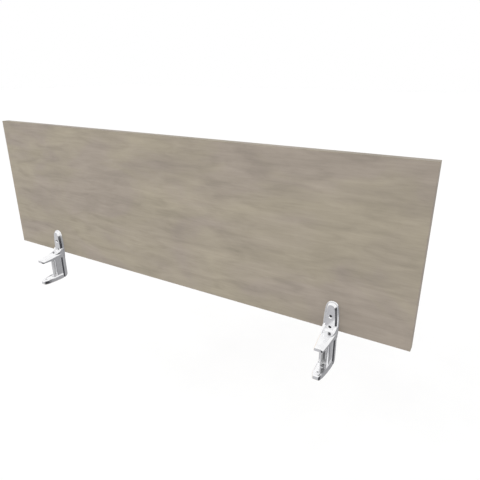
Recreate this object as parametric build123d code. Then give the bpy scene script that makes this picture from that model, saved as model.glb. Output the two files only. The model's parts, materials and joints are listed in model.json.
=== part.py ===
from build123d import *
import math
import os

# ---------------------------------------------------------------------------
# Desk privacy panel: a straight screen board carried in front of its lower
# edge by two die-cast desk clamps.
#
# Frame: +X along the panel, +Y from the clamped side to the far side, +Z up.
# Origin: middle of the panel's length, on the panel's clamped face, at the
# level of the desk's top surface (the underside of the clamp pads).
# All sizes in millimetres.
# ---------------------------------------------------------------------------

# panel
panel_width = 1600.0
panel_height = 500.0
panel_thick = 25.0
edge_band = 2.0             # ABS edge band on all four edges
edge_z = 20.0               # panel's lower edge above the desk top

# clamp positions along the panel
clamp_x = {"left": -563.0, "right": 583.0}

# clamp body, heights measured from the panel's lower edge
top_z = 88.9                # top of the upright's flange
flange_depth = 5.0          # flange of the upright, flat against the panel
boss_top = 86.8             # raised face inside the flange
upright_depth = 13.5
boss_bevel_depth = 8.4      # steep bevel round the raised face
boss_bevel_width = 4.4
bevel_depth = 5.5           # front bevel of the spine
bevel_width = 3.0
plate_half = 19.7           # half width of the spine below the panel
plate_depth = 18.0
plate_bottom = -106.0
plate_round = 14.0          # rounded lower back corner
jaw_under = -18.5           # flat underside of the upper jaw
jaw_reach = 101.0
rib_inner = 9.2             # the two guide ribs and the channel between them
rib_outer = 15.2
rib_front = 43.5
back_wall = 6.0
pad_proud = 1.5
pad_sink = 1.0

# lower jaw, shown at its lower stop
floor_z = -92.0
jaw_bottom = -110.0
jaw_travel = 52.0           # winds up to grip a desk top as thin as 18 mm
guide_gap = 0.3
tongue_under = -99.6
hole_r = 2.75
hole_pitch = 32.0
hole_back = 55.0            # first hole, in front of the panel face

# adjusting screw
screw_y = -24.0
screw_r = 4.0
journal_r = 3.0
running_gap = 0.05
bearing_top = -100.0
bearing_bottom = -106.0
bearing_screw_y = -36.0
nut_size = 13.0
nut_thick = 5.0

# panel screws
panel_screw_z = (11.8, 46.7)
panel_screw_r = 2.25
panel_screw_tip = 20.0
sink_r = 5.8                # conical mouth of each panel screw hole
sink_depth = 2.5
bore_r = 3.8                # bore that takes the screw's head
bore_depth = 7.6
head_r = 3.5
head_high = 3.0

os.makedirs("parts", exist_ok=True)


def block(x0, x1, y0, y1, z0, z1):
    return Pos((x0 + x1) / 2, (y0 + y1) / 2, (z0 + z1) / 2) * Box(x1 - x0, y1 - y0, z1 - z0)


def rod_z(r, z0, z1, x=0.0, y=0.0):
    return Pos(x, y, (z0 + z1) / 2) * Cylinder(r, z1 - z0)


def rod_y(r, y0, y1, x=0.0, z=0.0):
    return Pos(x, (y0 + y1) / 2, z) * Rot(90, 0, 0) * Cylinder(r, y1 - y0)


def cone_y(r_front, r_back, y_front, y_back, x=0.0, z=0.0):
    # r_front is the radius at y_front, the end nearer the user
    length = abs(y_back - y_front)
    return Pos(x, (y_front + y_back) / 2, z) * Rot(-90, 0, 0) * Cone(r_front, r_back, length)


def cross_rod(s, r, x0, x1):
    # cylinder along X on the side s, at the bearing plate's screw position
    return Pos(s * (x0 + x1) / 2, bearing_screw_y, (bearing_top + bearing_bottom) / 2) * Rot(0, 90, 0) * Cylinder(r, x1 - x0)


def cross_cone(s, r_in, r_out, x0, x1):
    return (Pos(s * (x0 + x1) / 2, bearing_screw_y, (bearing_top + bearing_bottom) / 2)
            * Rot(0, 90 * s, 0) * Cone(r_in, r_out, x1 - x0))


def plan(points, z0, z1):
    # closed outline in plan, extruded upwards
    face = make_face(Polyline(*[(x, y, 0) for x, y in points], close=True))
    return Pos(0, 0, z0) * extrude(face, amount=z1 - z0, dir=(0, 0, 1))


def mirrored(points):
    # right half of a plan outline, from back to front, completed on the left
    return points + [(-x, y) for x, y in reversed(points)]


def profile(points, half):
    # closed outline in the side view, extruded across the clamp
    face = make_face(Polyline(*[(-half, y, z) for y, z in points], close=True))
    return extrude(face, amount=2 * half, dir=(1, 0, 0))


def one(shape):
    solids = shape.solids()
    return solids[0] if len(solids) == 1 else Compound(children=solids)


# ---------------------------------------------------------------------------
# Clamp body
# ---------------------------------------------------------------------------

def shield(right, top, depth):
    # closed shield outline standing on the panel face, extruded towards the user
    points = [(x, 0, z) for x, z in right] + [(0, 0, top)] + [(-x, 0, z) for x, z in reversed(right)]
    edge = Spline(*points)
    return extrude(make_face([edge, Line(edge @ 1, edge @ 0)]), amount=depth, dir=(0, -1, 0))


def soften(body, depth, width):
    # bevel round the front edge, leaving the straight foot alone
    rim = [e for e in body.faces().sort_by(Axis.Y)[0].edges() if e.geom_type != GeomType.LINE]
    wall = [f for f in body.faces() if f.geom_type != GeomType.PLANE][0]
    return chamfer(rim, length=depth, length2=width, reference=wall)


def upright():
    # tapering shield with a rounded head: a thin flange and a raised face with steep bevels
    flange = shield([(plate_half + 0.9, -22.0), (21.9, -6.0), (22.4, 8.0), (22.2, 26.0), (21.3, 46.0),
                     (19.4, 64.0), (17.1, 76.0), (14.5, 82.0), (10.8, 86.0), (5.8, 88.3)], top_z, flange_depth)
    boss = shield([(16.6, -22.0), (18.2, -6.0), (19.0, 8.0), (18.8, 26.0), (17.9, 46.0),
                   (16.2, 64.0), (14.2, 75.5), (11.9, 81.0), (8.5, 84.7), (4.4, 86.4)], boss_top, upright_depth)
    return soften(flange, 0.6, 0.5) + soften(boss, boss_bevel_depth, boss_bevel_width)


def spine():
    flat = plate_depth - bevel_depth
    inner = plate_half - bevel_width
    plate = plan(mirrored([(plate_half, 0.0), (plate_half, -flat), (inner, -plate_depth)]), plate_bottom, -8.0)
    # rounded lower back corner
    cut = block(-40, 40, -plate_round, 1, plate_bottom - 1, plate_bottom + plate_round)
    cut = cut - Pos(0, -plate_round, plate_bottom + plate_round) * Rot(0, 90, 0) * Cylinder(plate_round, 90)
    plate = plate - cut
    ribs = block(-rib_outer, rib_outer, -rib_front, -plate_depth, plate_bottom, jaw_under + 3.0)
    ribs = fillet(ribs.edges().filter_by(Axis.Z).group_by(Axis.Y)[0], 1.6)
    return plate + ribs


def sloped(low, high, z0, z1):
    # body with ruled sides between two plan outlines
    faces = [make_face(Polyline(*[(x, y, z) for x, y in points], close=True)) for points, z in ((low, z0), (high, z1))]
    return loft(faces, ruled=True)


def inset(points, d):
    # outline drawn in by d at the sides and at the front tip
    return [(x - d if x > 0 else x + d, y if y > -90 else y + d) for x, y in points]


def upper_jaw():
    foot = [(20.8, -4.0), (20.6, -14.0), (20.0, -28.0), (19.2, -38.0), (17.4, -62.0), (14.4, -92.0),
            (12.8, -98.0), (9.6, -jaw_reach)]
    side = [(-4.0, jaw_under), (-96.0, jaw_under), (-99.6, jaw_under + 1.4), (-jaw_reach, jaw_under + 4.2),
            (-jaw_reach, -7.6), (-99.0, -5.0), (-94.0, -3.8), (-60.0, -1.6), (-40.0, 0.2), (-30.0, 2.6),
            (-22.0, 6.5), (-16.5, 11.0), (-12.6, 15.5), (-4.0, 15.5)]
    # sloping flanks, lower towards the tip: half width falls by 0.59 for each unit of height
    def flank(z, y):
        return 21.78 + 0.1683 * y - 0.5865 * z
    low, high = jaw_under - 2.0, 6.0
    wedge = sloped(mirrored([(flank(low, -2.0), -2.0), (flank(low, -104.0), -104.0)]),
                   mirrored([(flank(high, -2.0), -2.0), (flank(high, -104.0), -104.0)]), low, high)
    jaw = plan(mirrored(foot), jaw_under - 1, 30.0) & wedge
    # upright cheeks beside the lower panel screw, running out along the jaw
    cheeks = plan(mirrored([(20.8, -4.0), (20.6, -14.0), (19.3, -24.0), (15.2, -41.0)]), jaw_under - 1, 30.0)
    jaw = (jaw + cheeks) & profile(side, 30.0)
    # scoop around the lower panel screw: angled back corners, running out on the jaw's top
    scoop = plan(mirrored([(11.5, -upright_depth), (15.8, -18.5), (15.2, -30.0), (13.4, -46.0)]), -10.0, 40.0)
    scoop = scoop & profile([(-upright_depth, 4.5), (-17.0, 0.6), (-30.0, -0.9), (-46.0, -0.7), (-46.0, 40.0), (-upright_depth, 40.0)], 20.0)
    return jaw - scoop


def clamp_body():
    body = upright() + spine() + upper_jaw()
    # channel between the guide ribs for the lower jaw's tongue
    body = body - block(-rib_inner, rib_inner, -rib_front - 1, -back_wall, plate_bottom - 1, jaw_under)
    # recess for the pad
    body = body - plan(mirrored([(13.3, -48.0), (10.6, -90.0)]), jaw_under - 1, jaw_under + pad_sink)
    # panel screw holes: conical mouth, bore for the head and clearance
    for z in panel_screw_z:
        front = -60.0 if z < 20 else -20.0
        body = body - rod_y(2.75, front, 1.0, z=z)
        body = body - rod_y(bore_r, front, -upright_depth + bore_depth, z=z)
        body = body - cone_y(sink_r, bore_r, -upright_depth, -upright_depth + sink_depth, z=z)
        body = body - rod_y(sink_r, front, -upright_depth + 0.01, z=z)
    # upper journal of the adjusting screw
    body = body - rod_z(journal_r + running_gap, jaw_under - 1, jaw_under + 6.5, y=screw_y)
    # countersunk holes for the bearing plate's screws, one through each rib
    for s in (-1, 1):
        body = body - cross_rod(s, 1.6, rib_inner - 1.0, rib_outer + 1.0)
        body = body - cross_cone(s, 1.6, 3.3, rib_outer - 1.7, rib_outer + 0.01)
    return one(body)


def jaw_pad():
    pad = plan(mirrored([(12.9, -48.4), (10.3, -89.6)]), jaw_under - pad_proud, jaw_under + pad_sink)
    pad = fillet(pad.edges().filter_by(Axis.Z), 1.5)
    for y in (-56.0, -62.5, -69.0, -75.5, -82.0):
        pad = pad - block(-20, 20, y - 0.7, y + 0.7, jaw_under - pad_proud - 1, jaw_under - pad_proud + 0.6)
    return one(pad)


# ---------------------------------------------------------------------------
# Lower jaw and its drive
# ---------------------------------------------------------------------------

def lower_jaw():
    outline = mirrored([(19.5, -plate_depth - guide_gap), (19.3, -34.0), (18.2, -58.0), (15.4, -84.0),
                        (12.6, -96.0), (11.0, -100.0), (8.0, -102.4)])
    side = [(-plate_depth - guide_gap, -89.6), (-40.0, -89.6), (-70.0, -90.2), (-95.0, -91.4), (-100.4, -93.4),
            (-102.4, -96.6), (-102.4, -106.0), (-100.4, -108.8), (-96.0, jaw_bottom), (-34.0, jaw_bottom),
            (-25.0, -109.2), (-plate_depth - guide_gap, -107.4)]
    # straight sides with a sloping shoulder above and a bevel below
    jaw = plan(outline, jaw_bottom + 3.4, -95.0)
    jaw = jaw + sloped(outline, inset(outline, 2.8), -95.0, -88.0)
    jaw = jaw + sloped(inset(outline, 2.2), outline, jaw_bottom - 0.01, jaw_bottom + 3.4)
    jaw = jaw & profile(side, 30.0)
    # floor, leaving a rim along both sides
    floor = plan(mirrored([(15.6, -plate_depth + 1), (15.6, -34.0), (14.6, -58.0), (11.9, -84.0), (9.2, -94.0),
                           (6.6, -96.5)]), floor_z, -80.0)
    jaw = jaw - floor
    # slots for the two guide ribs, open to the back
    for s in (-1, 1):
        a, b = s * (rib_inner - guide_gap), s * (rib_outer + guide_gap)
        jaw = jaw - block(min(a, b), max(a, b), -rib_front - guide_gap, 0, -120.0, -80.0)
    # the tongue in the channel: clear of the back wall and of the bearing plate
    jaw = jaw - block(-rib_inner - 1, rib_inner + 1, -10.0, 0, -120.0, -80.0)
    tongue = block(-rib_inner + guide_gap, rib_inner - guide_gap, -rib_front - 2, -back_wall - 3.0, tongue_under, floor_z)
    jaw = jaw + tongue
    jaw = jaw - block(-rib_inner - 0.4, rib_inner + 0.4, -rib_front - guide_gap, 0, -120.0, tongue_under)
    # seats for two fixing screws into the underside of the desk
    for i in range(2):
        y = -hole_back - i * hole_pitch
        jaw = jaw + (rod_z(6.2, floor_z - 1, floor_z + 0.7, y=y))
        jaw = jaw - rod_z(hole_r, -120.0, -80.0, y=y)
        jaw = jaw - Pos(0, y, jaw_bottom + 1.5) * Cone(5.75, hole_r, 3.0)
    # adjusting screw clearance and the nut's seat
    jaw = jaw - rod_z(screw_r + 0.35, -120.0, -80.0, y=screw_y)
    jaw = jaw - block(-nut_size / 2, nut_size / 2, screw_y - nut_size / 2, screw_y + nut_size / 2,
                      tongue_under - 1, tongue_under + nut_thick)
    return one(jaw)


def travelling_nut():
    nut = block(-nut_size / 2, nut_size / 2, screw_y - nut_size / 2, screw_y + nut_size / 2,
                tongue_under, tongue_under + nut_thick)
    nut = chamfer(nut.edges().filter_by(Axis.Z), 1.0)
    nut = nut - rod_z(screw_r + running_gap, -120.0, -80.0, y=screw_y)
    return one(nut)


def bearing_plate():
    plate = block(-rib_inner, rib_inner, -rib_front + 2.5, -back_wall - 3.0, bearing_bottom, bearing_top)
    plate = plate - rod_z(screw_r + running_gap, -120.0, -80.0, y=screw_y)
    plate = plate - rod_z(6.3, bearing_top - 3.0, -80.0, y=screw_y)
    for s in (-1, 1):
        plate = plate - cross_rod(s, 1.52, 2.0, rib_inner + 1.0)
    return one(plate)


def bearing_screws():
    out = []
    for s in (-1, 1):
        screw = cross_rod(s, 1.5, 3.0, rib_outer - 1.5)
        screw = screw + cross_cone(s, 1.5, 3.1, rib_outer - 1.75, rib_outer - 0.15)
        socket = Rot(0, 90 * s, 0) * extrude(RegularPolygon(1.0, 6, major_radius=False), amount=2.0)
        screw = screw - Pos(s * (rib_outer - 1.2), bearing_screw_y, (bearing_top + bearing_bottom) / 2) * socket
        out.append(one(screw))
    return Compound(children=out)


def adjusting_screw():
    end = -109.2
    s = rod_z(screw_r, end, -22.0, y=screw_y)
    s = s + rod_z(6.0, bearing_top - 2.8, bearing_top - 0.5, y=screw_y)
    s = s + rod_z(journal_r, -22.5, jaw_under + 5.6, y=screw_y)
    s = s - (rod_z(8.0, -107.45, -106.35, y=screw_y) - rod_z(3.4, -108.0, -106.0, y=screw_y))
    s = s - Pos(0, screw_y, end) * extrude(RegularPolygon(2.0, 6, major_radius=False), amount=1.6)
    return one(s)


def retaining_ring():
    ring = rod_z(6.0, -107.4, -106.4, y=screw_y) - rod_z(3.4, -108.0, -106.0, y=screw_y)
    ring = ring - block(-1.8, 1.8, screw_y - 8.0, screw_y - 3.0, -108.0, -106.0)
    return one(ring)


def panel_screws():
    out = []
    seat = -upright_depth + bore_depth
    for z in panel_screw_z:
        s = rod_y(panel_screw_r, seat - 1.0, panel_screw_tip - 3.0, z=z)
        s = s + cone_y(panel_screw_r, 0.6, panel_screw_tip - 3.0, panel_screw_tip, z=z)
        s = s + rod_y(head_r, seat - head_high, seat - 0.05, z=z)
        s = s - Pos(0, seat - head_high + 1.8, z) * Rot(90, 0, 0) * extrude(RegularPolygon(1.5, 6, major_radius=False), amount=4.0)
        out.append(one(s))
    return Compound(children=out)


# ---------------------------------------------------------------------------
# Panel
# ---------------------------------------------------------------------------

half = panel_width / 2
core = block(-half + edge_band, half - edge_band, 0, panel_thick, edge_band, panel_height - edge_band)
for side, cx in clamp_x.items():
    for z in panel_screw_z:
        core = core - rod_y(panel_screw_r + 0.02, -1.0, panel_screw_tip - 3.0, x=cx, z=z)
        core = core - cone_y(panel_screw_r + 0.02, 0.62, panel_screw_tip - 3.0, panel_screw_tip + 0.05, x=cx, z=z)

parts = {
    "core_board": one(core),
    "top_edge_band": block(-half, half, 0, panel_thick, panel_height - edge_band, panel_height),
    "bottom_edge_band": block(-half, half, 0, panel_thick, 0, edge_band),
    "left_edge_band": block(-half, -half + edge_band, 0, panel_thick, edge_band, panel_height - edge_band),
    "right_edge_band": block(half - edge_band, half, 0, panel_thick, edge_band, panel_height - edge_band),
}

clamp_pieces = {
    "clamp_body": clamp_body(),
    "jaw_pad": jaw_pad(),
    "panel_screws": panel_screws(),
    "lower_jaw": lower_jaw(),
    "travelling_nut": travelling_nut(),
    "adjusting_screw": adjusting_screw(),
    "retaining_ring": retaining_ring(),
    "bearing_plate": bearing_plate(),
    "bearing_screws": bearing_screws(),
}
for side, cx in clamp_x.items():
    for name, shape in clamp_pieces.items():
        parts[side + "_" + name] = Pos(cx, 0, 0) * shape

for name, shape in parts.items():
    export_step(Pos(0, 0, edge_z) * shape, "parts/" + name + ".step")
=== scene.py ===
import bpy
import json
import math
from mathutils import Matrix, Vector

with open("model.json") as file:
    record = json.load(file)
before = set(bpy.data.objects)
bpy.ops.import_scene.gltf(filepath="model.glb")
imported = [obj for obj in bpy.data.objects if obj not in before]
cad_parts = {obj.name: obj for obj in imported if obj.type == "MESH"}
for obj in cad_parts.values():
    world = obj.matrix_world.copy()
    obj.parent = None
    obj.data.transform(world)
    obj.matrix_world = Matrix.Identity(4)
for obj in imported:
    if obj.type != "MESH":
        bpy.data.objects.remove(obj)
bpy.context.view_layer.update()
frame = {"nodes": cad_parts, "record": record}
nodes = frame["nodes"]
scene = bpy.context.scene


# --------------------------------------------------------------------------
# Node helpers
# --------------------------------------------------------------------------

def new_material(name):
    m = bpy.data.materials.new(name)
    m.use_nodes = True
    nt = m.node_tree
    bsdf = nt.nodes["Principled BSDF"]
    return m, nt, bsdf


def coords(nt, scale=(1, 1, 1), rot=(0, 0, 0), loc=(0, 0, 0)):
    tc = nt.nodes.new("ShaderNodeTexCoord")
    mp = nt.nodes.new("ShaderNodeMapping")
    mp.inputs["Scale"].default_value = scale
    mp.inputs["Rotation"].default_value = rot
    mp.inputs["Location"].default_value = loc
    nt.links.new(tc.outputs["Object"], mp.inputs["Vector"])
    return mp.outputs["Vector"]


def noise(nt, vec, scale, detail=4.0, rough=0.5, distortion=0.0):
    n = nt.nodes.new("ShaderNodeTexNoise")
    n.inputs["Scale"].default_value = scale
    n.inputs["Detail"].default_value = detail
    n.inputs["Roughness"].default_value = rough
    n.inputs["Distortion"].default_value = distortion
    nt.links.new(vec, n.inputs["Vector"])
    return n.outputs["Fac"]


def ramp(nt, fac, stops):
    r = nt.nodes.new("ShaderNodeValToRGB")
    el = r.color_ramp.elements
    rgba = lambda c: (c, c, c, 1) if isinstance(c, float) else (*c, 1)
    el[0].position, el[0].color = stops[0][0], rgba(stops[0][1])
    el[1].position, el[1].color = stops[-1][0], rgba(stops[-1][1])
    for p, c in stops[1:-1]:
        el.new(p).color = rgba(c)
    nt.links.new(fac, r.inputs["Fac"])
    return r.outputs["Color"]


def mix(nt, fac, a, b, mode="MIX"):
    n = nt.nodes.new("ShaderNodeMix")
    n.data_type = "RGBA"
    n.blend_type = mode
    for sock, v in ((n.inputs[0], fac), (n.inputs[6], a), (n.inputs[7], b)):
        if isinstance(v, (int, float)):
            sock.default_value = v
        elif isinstance(v, tuple):
            sock.default_value = (*v, 1)
        else:
            nt.links.new(v, sock)
    return n.outputs[2]


def math_node(nt, op, a, b=0.5, c=None):
    n = nt.nodes.new("ShaderNodeMath")
    n.operation = op
    for sock, v in zip(n.inputs, (a, b, c)):
        if v is None:
            continue
        if isinstance(v, (int, float)):
            sock.default_value = v
        else:
            nt.links.new(v, sock)
    return n.outputs[0]


def bump(nt, height, strength, distance, normal=None):
    b = nt.nodes.new("ShaderNodeBump")
    b.inputs["Strength"].default_value = strength
    b.inputs["Distance"].default_value = distance
    nt.links.new(height, b.inputs["Height"])
    if normal is not None:
        nt.links.new(normal, b.inputs["Normal"])
    return b.outputs["Normal"]


def srgb(r, g, b):
    f = lambda v: (v / 255 / 12.92) if v / 255 <= 0.04045 else ((v / 255 + 0.055) / 1.055) ** 2.4
    return (f(r), f(g), f(b))


# --------------------------------------------------------------------------
# Materials
# --------------------------------------------------------------------------

def decor(name, gain=1.0, offset=(0, 0, 0)):
    """Greige wood decor, grain along X: cloudy patches, long faint streaks, fine pores."""
    m, nt, bsdf = new_material(name)
    c = lambda r, g, b: tuple(v * gain for v in srgb(r, g, b))
    patch = noise(nt, coords(nt, (2.6, 1.0, 5.2), loc=offset), 1.0, 3.0, 0.55, 0.6)
    tone = ramp(nt, patch, [(0.40, c(157.5, 148.2, 131.6)), (0.50, c(156, 146.4, 131.8)), (0.58, c(154, 143.8, 132.4))])
    depth = noise(nt, coords(nt, (3.4, 1.0, 11.0), loc=(4.1, 0, 2.0)), 1.0, 4.0, 0.6, 0.8)
    tone = mix(nt, 1.0, tone, ramp(nt, depth, [(0.30, 0.90), (0.50, 0.985), (0.70, 1.06)]), "MULTIPLY")
    streak = noise(nt, coords(nt, (7.5, 1.0, 34.0), rot=(0, math.radians(1.5), 0), loc=(0, 0, 7.0)), 1.0, 3.0, 0.5, 0.9)
    tone = mix(nt, 1.0, tone, ramp(nt, streak, [(0.28, 0.88), (0.48, 1.0), (0.72, 1.09)]), "MULTIPLY")
    fine = noise(nt, coords(nt, (9.0, 1.0, 190.0)), 1.0, 3.0, 0.6, 0.2)
    tone = mix(nt, 1.0, tone, ramp(nt, fine, [(0.32, 0.955), (0.50, 1.0), (0.68, 1.03)]), "MULTIPLY")
    pores = noise(nt, coords(nt, (26.0, 40.0, 900.0)), 1.5, 2.0, 0.5)
    tone = mix(nt, 1.0, tone, ramp(nt, pores, [(0.30, 0.88), (0.40, 1.0)]), "MULTIPLY")
    nt.links.new(tone, bsdf.inputs["Base Color"])
    rough = ramp(nt, fine, [(0.3, 0.62), (0.7, 0.52)])
    nt.links.new(rough, bsdf.inputs["Roughness"])
    bsdf.inputs["Specular IOR Level"].default_value = 0.35
    h = mix(nt, 0.5, fine, pores)
    nt.links.new(bump(nt, h, 0.25, 0.0003), bsdf.inputs["Normal"])
    return m


def cast_metal(name):
    """Polished die-cast aluminium with faint waviness and fine scratches, left as cast in the guide channel."""
    m, nt, bsdf = new_material(name)
    # the channel between the guide ribs of either clamp
    tc = nt.nodes.new("ShaderNodeTexCoord")
    xyz = nt.nodes.new("ShaderNodeSeparateXYZ")
    nt.links.new(tc.outputs["Object"], xyz.inputs[0])
    off = math_node(nt, "ABSOLUTE", math_node(nt, "SUBTRACT", xyz.outputs["X"], 0.010))
    off = math_node(nt, "ABSOLUTE", math_node(nt, "SUBTRACT", off, 0.573))
    inside = math_node(nt, "LESS_THAN", off, 0.00935)
    inside = math_node(nt, "MULTIPLY", inside, math_node(nt, "LESS_THAN", xyz.outputs["Z"], 0.0016))
    inside = math_node(nt, "MULTIPLY", inside, math_node(nt, "GREATER_THAN", xyz.outputs["Y"], -0.0437))
    cloud = noise(nt, coords(nt), 60.0, 4.0, 0.55)
    polished = ramp(nt, cloud, [(0.3, (0.84, 0.84, 0.85)), (0.7, (0.92, 0.92, 0.925))])
    grit = noise(nt, coords(nt), 900.0, 4.0, 0.6)
    raw = ramp(nt, grit, [(0.3, (0.80, 0.80, 0.805)), (0.7, (0.94, 0.94, 0.945))])
    nt.links.new(mix(nt, inside, polished, raw), bsdf.inputs["Base Color"])
    nt.links.new(math_node(nt, "MULTIPLY_ADD", inside, -0.80, 1.0), bsdf.inputs["Metallic"])
    scr = noise(nt, coords(nt, (140.0, 900.0, 140.0)), 2.0, 3.0, 0.6)
    rough = ramp(nt, scr, [(0.35, 0.12), (0.65, 0.19)])
    nt.links.new(math_node(nt, "MULTIPLY_ADD", inside, 0.42, rough), bsdf.inputs["Roughness"])
    wavy = noise(nt, coords(nt), 170.0, 2.0, 0.5)
    n1 = bump(nt, wavy, 0.06, 0.0006)
    nt.links.new(bump(nt, scr, 0.04, 0.0002, n1), bsdf.inputs["Normal"])
    return m


def zinc(name, tint, metallic=1.0, r0=0.28, r1=0.45):
    m, nt, bsdf = new_material(name)
    cloud = noise(nt, coords(nt), 220.0, 4.0, 0.6)
    lo = tuple(v * 0.86 for v in tint)
    hi = tuple(min(1.0, v * 1.08) for v in tint)
    nt.links.new(ramp(nt, cloud, [(0.3, lo), (0.7, hi)]), bsdf.inputs["Base Color"])
    bsdf.inputs["Metallic"].default_value = metallic
    turn = noise(nt, coords(nt, (1.0, 1.0, 22.0)), 240.0, 2.0, 0.5)
    nt.links.new(ramp(nt, turn, [(0.3, r0), (0.7, r1)]), bsdf.inputs["Roughness"])
    nt.links.new(bump(nt, turn, 0.12, 0.0001), bsdf.inputs["Normal"])
    return m


def rubber(name):
    m, nt, bsdf = new_material(name)
    n = noise(nt, coords(nt), 900.0, 3.0, 0.6)
    nt.links.new(ramp(nt, n, [(0.3, (0.018, 0.018, 0.019)), (0.7, (0.034, 0.034, 0.035))]), bsdf.inputs["Base Color"])
    nt.links.new(ramp(nt, n, [(0.3, 0.72), (0.7, 0.86)]), bsdf.inputs["Roughness"])
    nt.links.new(bump(nt, n, 0.3, 0.0002), bsdf.inputs["Normal"])
    return m


mat = {
    "decor_board": decor("decor_board"),
    # the edge bands take the decor at 0.96 gain: painted shade, the darker look of the shaded end face put into the
    # colour of all four bands
    "edge_band": decor("edge_band", 0.96, (1.7, 0.4, 0.9)),
    "cast_metal": cast_metal("cast_metal"),
    "screw_steel": zinc("screw_steel", (0.72, 0.72, 0.73)),
    "spring_steel": zinc("spring_steel", (0.10, 0.10, 0.105), 0.9, 0.35, 0.5),
    "plate_steel": zinc("plate_steel", (0.50, 0.50, 0.51)),
    "pad_rubber": rubber("pad_rubber"),
    # near-black steel for the panel screws: painted shade of the screw holes, not a finish of the screws
    "painted_shade_steel": zinc("painted_shade_steel", (0.085, 0.085, 0.09), 0.9, 0.35, 0.5),
}


# --------------------------------------------------------------------------
# Softened edges for the CAD pieces
# --------------------------------------------------------------------------

def smooth_group():
    g = bpy.data.node_groups.new("smooth_by_angle", "GeometryNodeTree")
    g.interface.new_socket("Geometry", in_out="INPUT", socket_type="NodeSocketGeometry")
    g.interface.new_socket("Geometry", in_out="OUTPUT", socket_type="NodeSocketGeometry")
    gi, go = g.nodes.new("NodeGroupInput"), g.nodes.new("NodeGroupOutput")
    s1 = g.nodes.new("GeometryNodeSetShadeSmooth")
    s1.domain = "FACE"
    s2 = g.nodes.new("GeometryNodeSetShadeSmooth")
    s2.domain = "EDGE"
    s2.inputs["Shade Smooth"].default_value = False
    ang = g.nodes.new("GeometryNodeInputMeshEdgeAngle")
    cmp_ = g.nodes.new("FunctionNodeCompare")
    cmp_.data_type = "FLOAT"
    cmp_.operation = "GREATER_THAN"
    cmp_.inputs["B"].default_value = math.radians(32)
    g.links.new(ang.outputs["Unsigned Angle"], cmp_.inputs["A"])
    g.links.new(gi.outputs[0], s1.inputs["Geometry"])
    g.links.new(s1.outputs[0], s2.inputs["Geometry"])
    g.links.new(cmp_.outputs["Result"], s2.inputs["Selection"])
    g.links.new(s2.outputs[0], go.inputs[0])
    return g


smoother = smooth_group()


def dress(o, width, segments=2, angle=28):
    weld = o.modifiers.new("weld", "WELD")
    weld.merge_threshold = 0.000004
    if width:
        b = o.modifiers.new("bevel", "BEVEL")
        b.width = width
        b.segments = segments if width < 0.001 else 3
        b.limit_method = "ANGLE"
        b.angle_limit = math.radians(angle)
        b.use_clamp_overlap = True
        b.miter_outer = "MITER_ARC"
    s = o.modifiers.new("smooth", "NODES")
    s.node_group = smoother
    if width:
        w = o.modifiers.new("weighted", "WEIGHTED_NORMAL")
        w.mode = "FACE_AREA"
        w.weight = 60
        w.keep_sharp = True


bevels = {"decor_board": 0.0, "edge_band": 0.0, "cast_metal": 0.0012, "screw_steel": 0.00015,
          "spring_steel": 0.0001, "plate_steel": 0.0002, "pad_rubber": 0.0004}
slot_of = {s["node"]: s["material_slot"] for s in frame["record"]["subparts"]}
for name, o in nodes.items():
    slot = slot_of[name]
    o.data.materials.clear()
    # the panel screws take the near-black steel instead of their own slot: painted shade in the screw holes
    o.data.materials.append(mat["painted_shade_steel" if name.endswith("panel_screws") else slot])
    dress(o, bevels[slot])


# --------------------------------------------------------------------------
# Floor, light, camera
# --------------------------------------------------------------------------

me = bpy.data.meshes.new("floor")
s = 30.0
me.from_pydata([(-s, -s, -0.74), (s, -s, -0.74), (s, s, -0.74), (-s, s, -0.74)], [], [(0, 1, 2, 3)])
floor = bpy.data.objects.new("floor", me)
scene.collection.objects.link(floor)
fm, fnt, fb = new_material("floor")
fb.inputs["Roughness"].default_value = 0.9
fnt.links.new(ramp(fnt, noise(fnt, coords(fnt), 3.0), [(0.3, (0.93, 0.93, 0.93)), (0.7, (0.95, 0.95, 0.95))]), fb.inputs["Base Color"])
me.materials.append(fm)
for name in ("core_board", "top_edge_band", "bottom_edge_band", "left_edge_band", "right_edge_band"):
    nodes[name].visible_glossy = False

world = bpy.data.worlds.new("studio")
scene.world = world
world.use_nodes = True
wn = world.node_tree
bg = wn.nodes["Background"]
bg.inputs["Strength"].default_value = 1.0

# The studio round the object: a white tent above, a grey wall to the front left, a warm wall to the
# left, a dark flag to the front right and a grey wall on the right. The flag is wider near the ground.
wtc = wn.nodes.new("ShaderNodeTexCoord")
sep = wn.nodes.new("ShaderNodeSeparateXYZ")
wn.links.new(wtc.outputs["Generated"], sep.inputs[0])
turn = math_node(wn, "ARCTAN2", sep.outputs["X"], math_node(wn, "MULTIPLY", sep.outputs["Y"], -1.0))
around = math_node(wn, "ADD", math_node(wn, "DIVIDE", turn, 2 * math.pi), 0.5)
at = lambda deg: deg / 360 + 0.5


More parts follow.
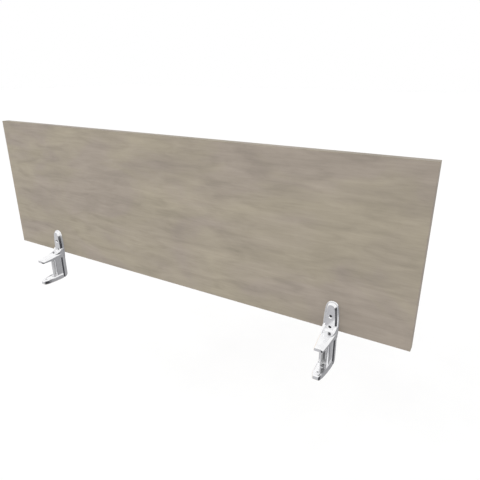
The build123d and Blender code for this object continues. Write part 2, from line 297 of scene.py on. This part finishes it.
def wall(flag_end):
    return ramp(wn, around, [
        (at(-180), (0.80, 0.79, 0.78)),
        (at(-150), (1.00, 0.94, 0.86)),
        (at(-100), (0.98, 0.94, 0.88)),
        (at(-72), (0.66, 0.66, 0.67)),
        (at(-16), (0.55, 0.55, 0.57)),
        (at(12), (0.50, 0.50, 0.52)),
        (at(28), (0.055, 0.055, 0.06)),
        (at(flag_end), (0.06, 0.06, 0.065)),
        (at(flag_end + 9), (0.38, 0.38, 0.39)),
        (at(165), (0.36, 0.36, 0.37)),
        (at(180), (0.80, 0.79, 0.78)),
    ])


level = math_node(wn, "MULTIPLY_ADD", sep.outputs["Z"], 0.5, 0.5)
lower = ramp(wn, level, [(0.5 - 0.5 * 0.48, 1.0), (0.5 - 0.5 * 0.43, 0.0)])
walls = mix(wn, lower, wall(103), wall(120))
up = ramp(wn, level, [(0.5 - 0.5 * 0.10, 0.0), (0.5, 1.0)])
path = wn.nodes.new("ShaderNodeLightPath")
# light that reaches the hollows of the castings by a second reflection is a plain soft grey
inner = math_node(wn, "GREATER_THAN", path.outputs["Glossy Depth"], 1.5)
walls = mix(wn, inner, walls, (0.52, 0.52, 0.53))
tent = mix(wn, up, walls, (1.08, 1.08, 1.08))
wn.links.new(mix(wn, path.outputs["Is Camera Ray"], tent, (1.0, 1.0, 1.0)), bg.inputs["Color"])
floor.visible_glossy = False


def area(name, loc, target, size, power, color=(1, 1, 1)):
    d = bpy.data.lights.new(name, "AREA")
    d.shape = "RECTANGLE"
    d.size, d.size_y = size
    d.energy = power
    d.color = color
    o = bpy.data.objects.new(name, d)
    scene.collection.objects.link(o)
    o.location = loc
    o.rotation_euler = (Vector(target) - Vector(loc)).to_track_quat("-Z", "Y").to_euler()
    return o


area("key", (-2.2, -3.0, 2.6), (0, 0, 0.1), (2.2, 2.2), 14, (1.0, 0.98, 0.95))

cam_data = bpy.data.cameras.new("camera")
cam_data.lens = 33.738
cam_data.sensor_width = 36.0
cam_data.clip_start = 0.05
cam_data.clip_end = 100
cam = bpy.data.objects.new("camera", cam_data)
scene.collection.objects.link(cam)
cam.location = (0.9242, -1.0839, 0.7165)
cam.rotation_euler = (math.radians(68.982), 0, math.radians(30.649))
scene.camera = cam
scene.view_settings.view_transform = "Standard"
scene.view_settings.look = "None"
